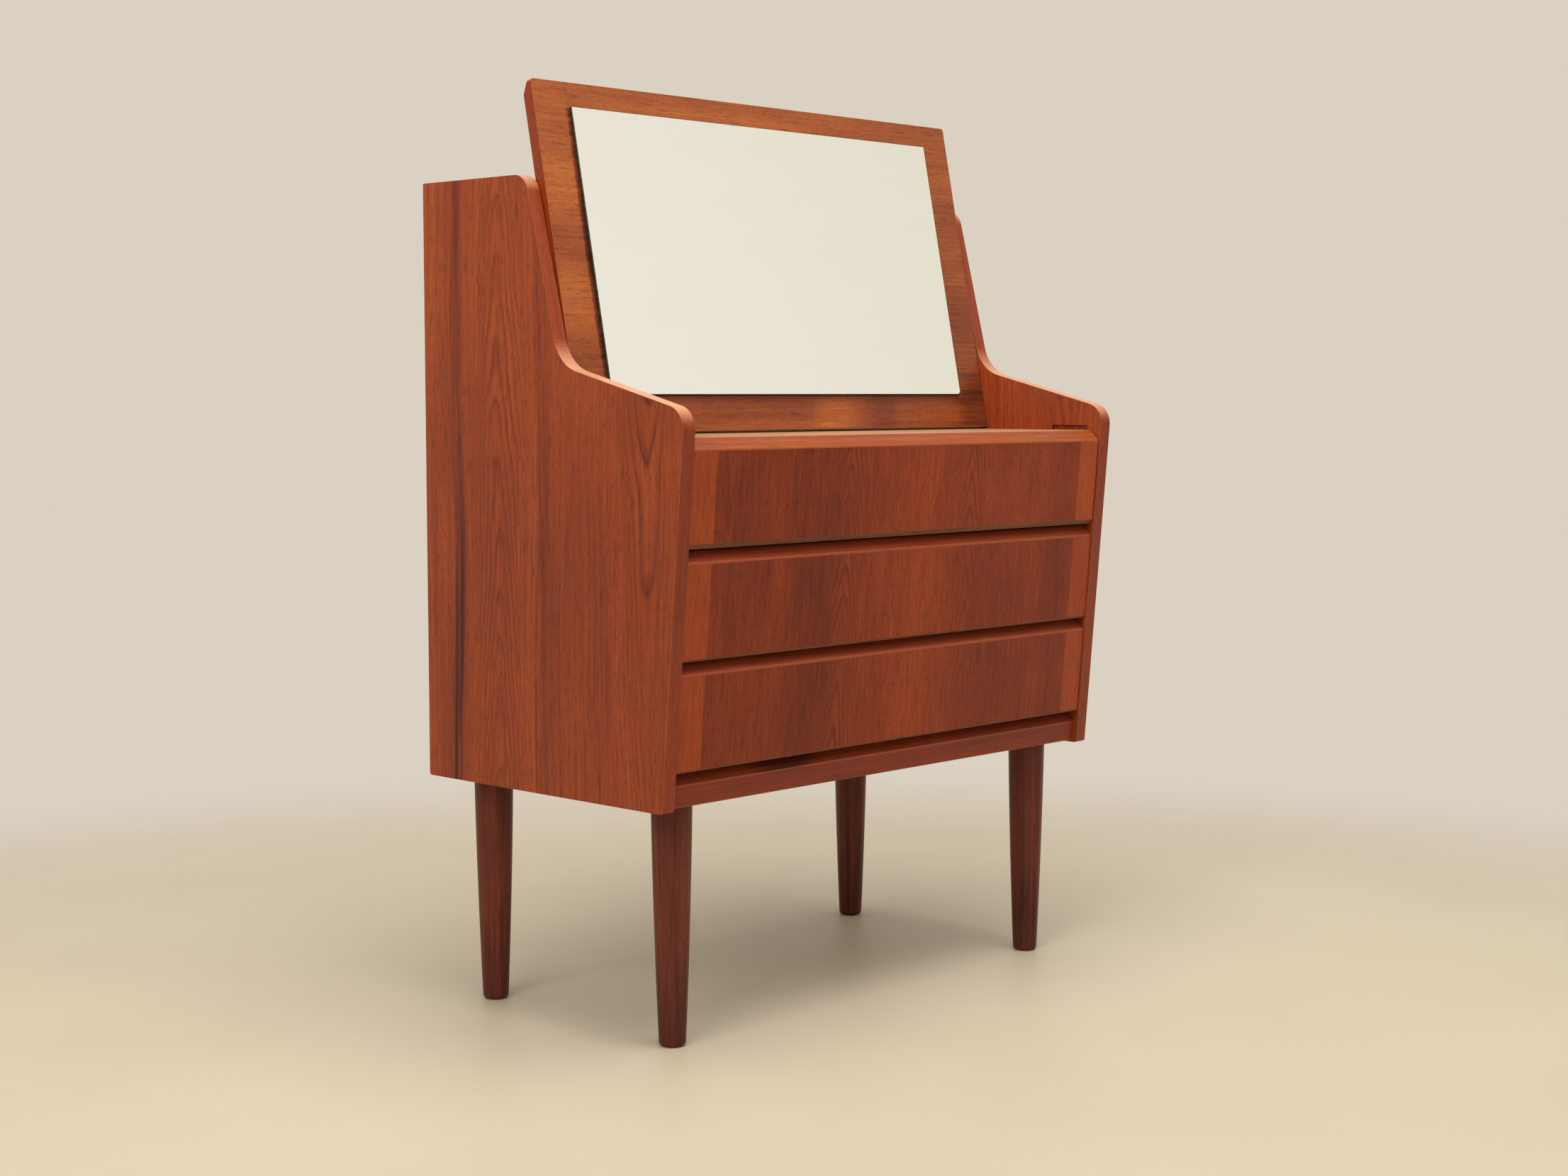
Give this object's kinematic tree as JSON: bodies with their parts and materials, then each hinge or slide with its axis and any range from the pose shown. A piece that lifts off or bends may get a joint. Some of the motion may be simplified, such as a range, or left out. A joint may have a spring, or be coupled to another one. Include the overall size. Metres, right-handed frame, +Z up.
{
  "type": "vanity table with mirror",
  "caption": "Dressing table with raised wing sides, a stack of chamfered drawers on turned tapered legs, and a leaning mirror panel that tilts forward over a hidden storage space.",
  "frame": {"origin": "on the floor, under the middle of the bounding box", "axes": "+X to the right as seen by the person at the table, +Y to the back, +Z up"},
  "size_m": [0.8, 0.4578, 1.1343],
  "materials": {
    "teak_veneer_side": "oiled teak veneer, grain upright",
    "teak_veneer_top": "oiled teak veneer, grain along the width",
    "teak_veneer_front": "oiled teak veneer, grain upright",
    "teak_veneer_mirror": "oiled teak veneer, grain along the width",
    "teak_end_strip": "oiled teak, grain upright",
    "teak_solid": "oiled solid teak",
    "teak_leg": "turned solid teak, dark oil",
    "oak_strip": "solid strip, brown stain",
    "beech": "planed beech",
    "plywood": "sanded birch plywood",
    "chipboard_bottom": "veneered board",
    "hardboard": "hardboard, smooth face out",
    "zinc_steel": "zinc plated",
    "brass": "turned brass",
    "nylon": "nylon",
    "foam_tape": "double-sided tape",
    "felt": "pressed felt",
    "mirror": "silvered float glass with ground edges"
  },
  "bodies": {
    "carcass": {"side_left": "teak_veneer_side", "side_right": "teak_veneer_side", "table_top": "teak_veneer_top", "top_shelf": "teak_veneer_top", "bottom_panel": "chipboard_bottom", "apron": "teak_solid", "back_panel": "hardboard", "drawer_1_runner_left": "beech", "drawer_1_runner_right": "beech", "drawer_2_runner_left": "beech", "drawer_2_runner_right": "beech", "drawer_3_runner_left": "beech", "drawer_3_runner_right": "beech", "runner_screws": "zinc_steel", "back_screws": "zinc_steel", "carcass_dowels": "beech", "mirror_stop": "teak_solid", "bumper_pads": "felt", "pivot_pin_left": "zinc_steel", "pivot_pin_right": "zinc_steel", "pivot_washers": "nylon", "leg_front_left": "teak_leg", "leg_front_right": "teak_leg", "leg_back_left": "teak_leg", "leg_back_right": "teak_leg", "leg_studs": "zinc_steel", "leg_nuts": "zinc_steel"},
    "drawer_top": {"drawer_1_front": "teak_veneer_front", "drawer_1_end_strips": "teak_end_strip", "drawer_1_top_lipping": "teak_solid", "drawer_1_bottom_lipping": "oak_strip", "drawer_1_side_left": "beech", "drawer_1_side_right": "beech", "drawer_1_back": "beech", "drawer_1_bottom": "plywood"},
    "drawer_middle": {"drawer_2_front": "teak_veneer_front", "drawer_2_end_strips": "teak_end_strip", "drawer_2_top_lipping": "teak_solid", "drawer_2_bottom_lipping": "oak_strip", "drawer_2_side_left": "beech", "drawer_2_side_right": "beech", "drawer_2_back": "beech", "drawer_2_bottom": "plywood"},
    "drawer_bottom": {"drawer_3_front": "teak_veneer_front", "drawer_3_end_strips": "teak_end_strip", "drawer_3_top_lipping": "teak_solid", "drawer_3_bottom_lipping": "oak_strip", "drawer_3_side_left": "beech", "drawer_3_side_right": "beech", "drawer_3_back": "beech", "drawer_3_bottom": "plywood"},
    "mirror": {"mirror_panel": "teak_veneer_mirror", "mirror_glass": "mirror", "mirror_tape": "foam_tape", "pivot_bush_left": "brass", "pivot_bush_right": "brass"}
  },
  "joints": [
    {"name": "drawer_1_slide", "type": "slide", "parent": "carcass", "child": "drawer_top", "axis": [0, -1, 0], "range_m": [0, 0.28]},
    {"name": "drawer_2_slide", "type": "slide", "parent": "carcass", "child": "drawer_middle", "axis": [0, -1, 0], "range_m": [0, 0.28]},
    {"name": "drawer_3_slide", "type": "slide", "parent": "carcass", "child": "drawer_bottom", "axis": [0, -1, 0], "range_m": [0, 0.28]},
    {"name": "mirror_tilt", "type": "hinge", "parent": "carcass", "child": "mirror", "pos_m": [0, -0.01509, 0.774], "axis": [1, 0, 0], "range_deg": [0, 30]}
  ]
}
